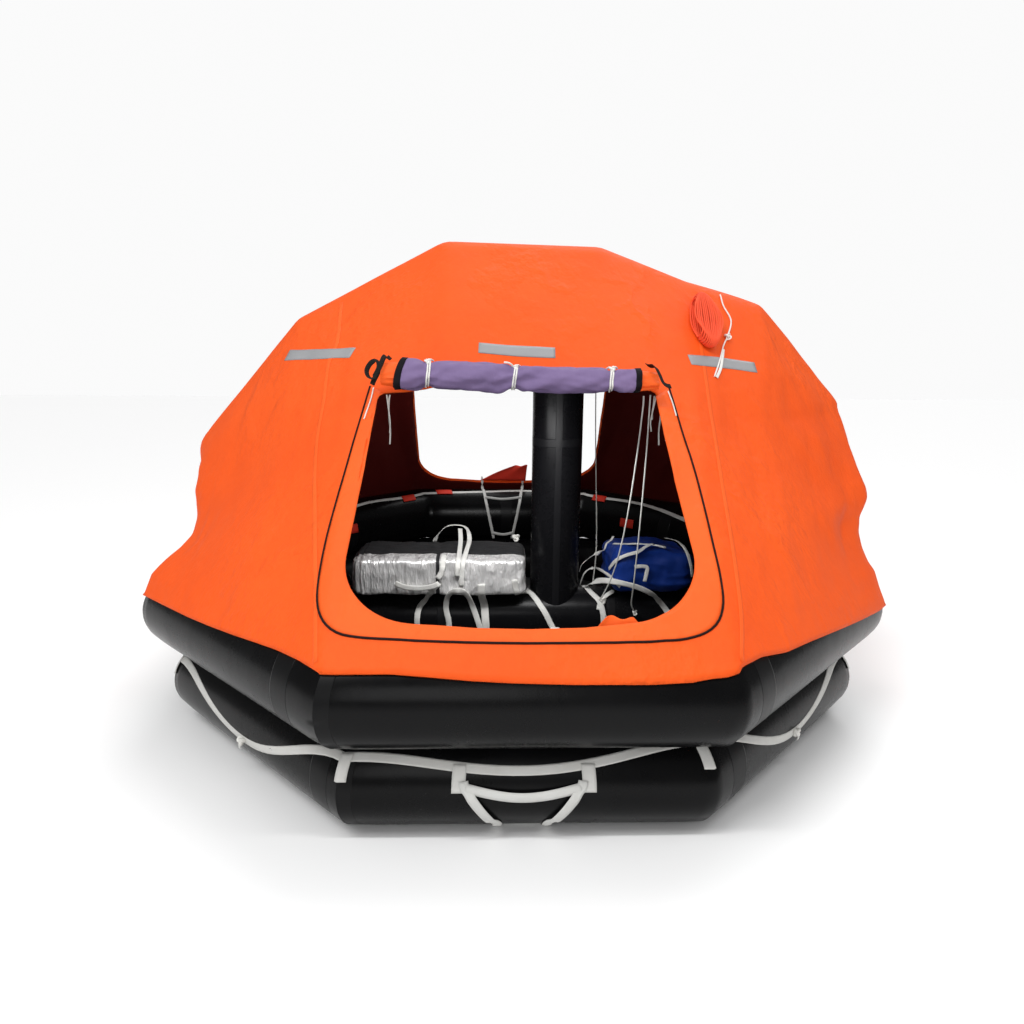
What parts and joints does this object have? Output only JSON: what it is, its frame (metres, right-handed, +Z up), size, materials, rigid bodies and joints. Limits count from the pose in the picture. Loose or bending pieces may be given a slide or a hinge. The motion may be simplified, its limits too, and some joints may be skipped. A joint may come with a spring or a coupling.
{
  "type": "inflatable life raft",
  "caption": "Covered inflatable life raft with two stacked octagonal tubes, an arch tube, an orange canopy open at front and back, a cross seat and stowed gear.",
  "frame": {"origin": "centre of the raft on the floor it stands on", "axes": "+Z up, -Y out of the front doorway, +X to the right seen from the front, along the arch and the cross seat"},
  "size_m": [3.32, 3.32, 2.2],
  "materials": {
    "frame_black": "satin black coated fabric, lightly creased",
    "pocket_black": "black ballast pocket cloth",
    "bag_blue": "blue coated cloth bag",
    "ladder_web": "off-white ladder webbing",
    "canopy_orange": "vivid orange coated canopy cloth",
    "valve_brass": "dull brass",
    "curtain_purple": "rolled dark purple inner curtain",
    "cord_white": "white braided cord",
    "floor_black": "matt black coated fabric",
    "foil": "creased silver foil wrapping",
    "cylinder_grey": "dark grey paint",
    "webbing_white": "off-white woven webbing",
    "rope_orange": "orange-red braided line",
    "tube_black": "satin black coated fabric"
  },
  "bodies": {
    "root": {"arch": "frame_black", "ballast_pocket_1": "pocket_black", "ballast_pocket_2": "pocket_black", "ballast_pocket_3": "pocket_black", "ballast_pocket_4": "pocket_black", "blue_bag": "bag_blue", "boarding_ladder_back": "ladder_web", "boarding_ladder_front": "ladder_web", "canopy_back": "canopy_orange", "canopy_front": "canopy_orange", "canopy_gore_back_left": "canopy_orange", "canopy_gore_back_right": "canopy_orange", "canopy_gore_front_left": "canopy_orange", "canopy_gore_front_right": "canopy_orange", "canopy_side_left": "canopy_orange", "canopy_side_right": "canopy_orange", "cylinder_valve": "valve_brass", "door_roll_back": "curtain_purple", "door_roll_front": "curtain_purple", "door_tail_left": "cord_white", "door_tail_right": "cord_white", "entry_line_back": "cord_white", "entry_line_front": "cord_white", "entry_line_second": "cord_white", "floor": "floor_black", "foil_bundle": "foil", "gas_cylinder": "cylinder_grey", "grab_line": "webbing_white", "hank_tie": "cord_white", "inner_ladder_back": "ladder_web", "lifeline": "webbing_white", "line_hank": "rope_orange", "lower_tube": "tube_black", "pillar": "frame_black", "thwart": "frame_black", "upper_tube": "tube_black"}
  },
  "joints": []
}
